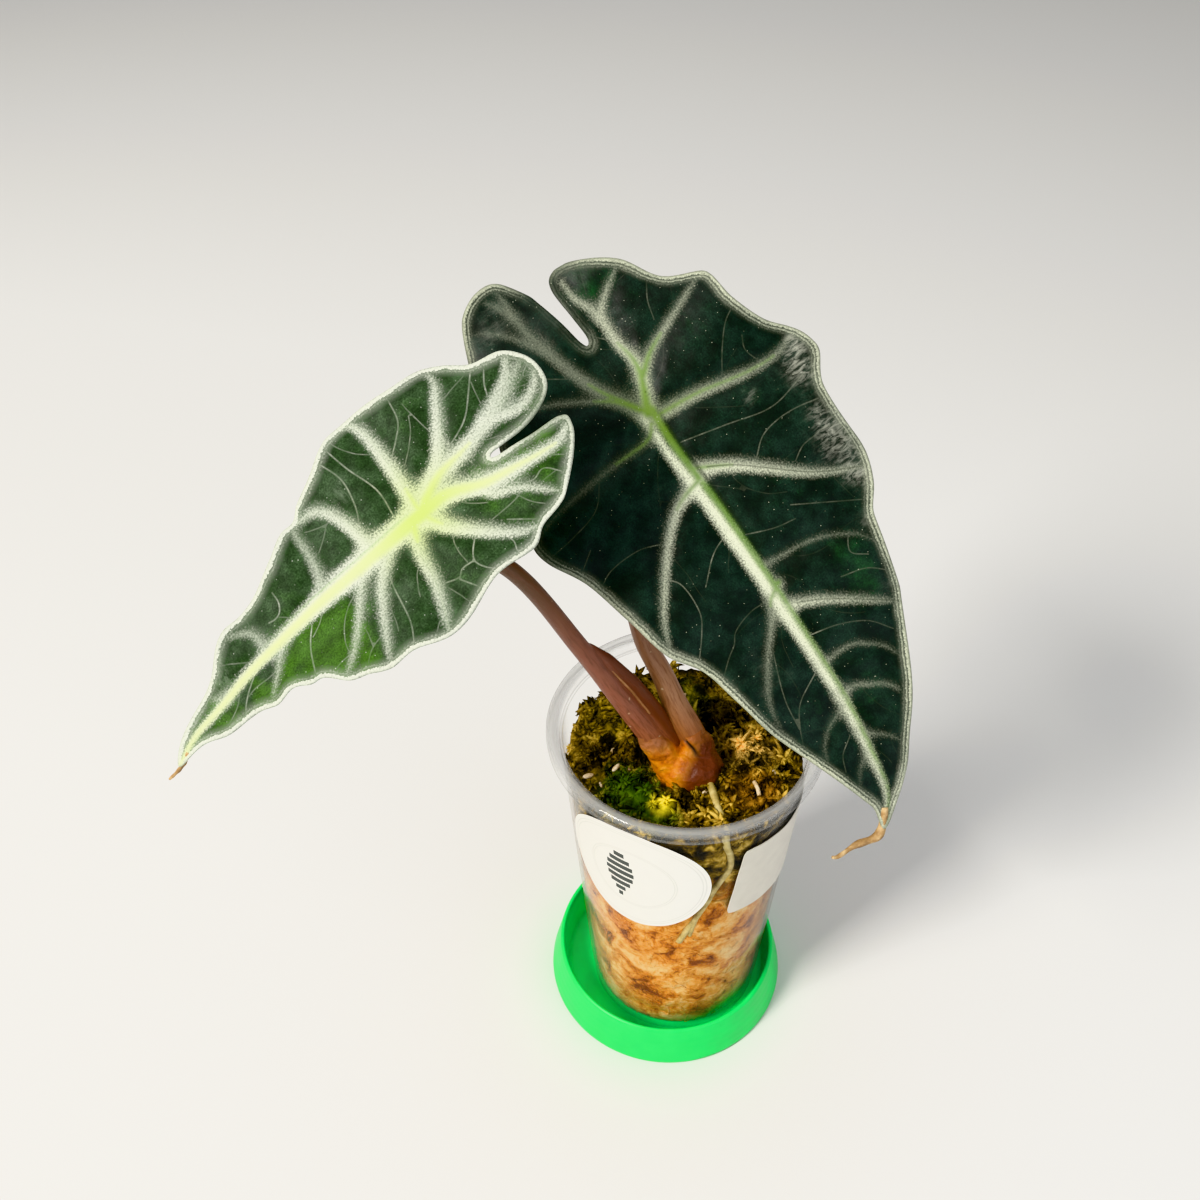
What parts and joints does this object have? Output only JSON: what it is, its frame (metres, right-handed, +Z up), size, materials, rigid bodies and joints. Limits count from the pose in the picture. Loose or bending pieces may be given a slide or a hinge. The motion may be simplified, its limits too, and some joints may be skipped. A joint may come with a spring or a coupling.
{
  "type": "potted variegated alocasia polly",
  "caption": "Variegated alocasia polly with a left and a right arrow-shaped leaf, rooted in sphagnum in a clear cup with paper labels, on a round green stand.",
  "frame": {"origin": "centre of the stand's flat underside", "axes": "+Z up out of the pot, -Y towards the side that shows the round label, +X to the right seen from that side"},
  "size_m": [0.1996, 0.1352, 0.2964],
  "materials": {
    "stand": "satin, moulded",
    "cup": "clear, glossy",
    "moss": "loose damp sphagnum, olive on top and tan below",
    "corm": "knobby, orange brown",
    "petiole": "smooth, reddish brown",
    "blade_left": "satin, mottled green with white veins",
    "blade_right": "satin, dark green with silvery veins",
    "root": "smooth, pale yellow",
    "paper": "matt, coated"
  },
  "bodies": {
    "root": {"stand": "stand", "cup": "cup", "moss": "moss", "corm": "corm", "petiole_left": "petiole", "petiole_right": "petiole", "blade_left": "blade_left", "blade_right": "blade_right", "root_front": "root", "label_round": "paper", "label_square": "paper"}
  },
  "joints": []
}
